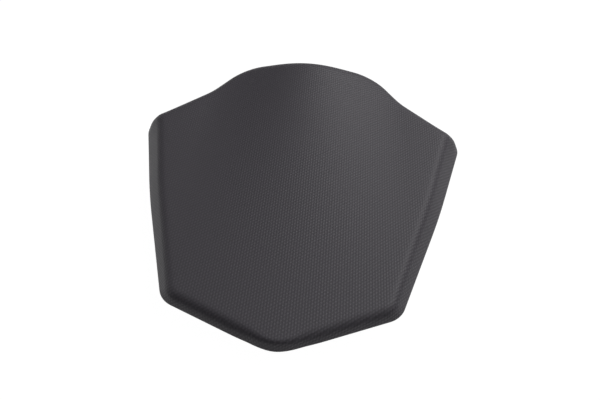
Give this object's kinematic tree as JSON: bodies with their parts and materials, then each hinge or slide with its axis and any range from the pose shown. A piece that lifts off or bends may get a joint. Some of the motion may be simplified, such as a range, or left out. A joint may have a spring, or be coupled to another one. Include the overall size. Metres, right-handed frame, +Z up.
{
  "type": "motorcycle pillion seat",
  "caption": "Thin shield-shaped pillion seat: embossed vinyl cover over a crowned foam pad on a ribbed pan, with front tongues, a lock striker and rubber buffers below.",
  "frame": {"origin": "on the floor under the buffers, midway along the seat's length and width", "axes": "+Z up, +Y towards the front of the motorcycle, +X to the right"},
  "size_m": [0.244, 0.2624, 0.0593],
  "materials": {
    "cover_vinyl": "embossed",
    "pad_foam": "matte",
    "pan_plastic": "matte",
    "staple_steel": "drawn",
    "buffer_rubber": "matte",
    "plate_steel": "satin",
    "rod_steel": "zinc plated",
    "screw_steel": "zinc plated",
    "insert_brass": "knurled"
  },
  "bodies": {
    "root": {"seat_cover": "cover_vinyl", "foam_pad": "pad_foam", "base_pan": "pan_plastic", "cover_staples": "staple_steel", "rest_buffer_front_left": "buffer_rubber", "rest_buffer_front_right": "buffer_rubber", "rest_buffer_rear_left": "buffer_rubber", "rest_buffer_rear_right": "buffer_rubber", "striker_plate": "plate_steel", "striker_loop": "rod_steel", "striker_screws": "screw_steel", "thread_inserts": "insert_brass"}
  },
  "joints": []
}
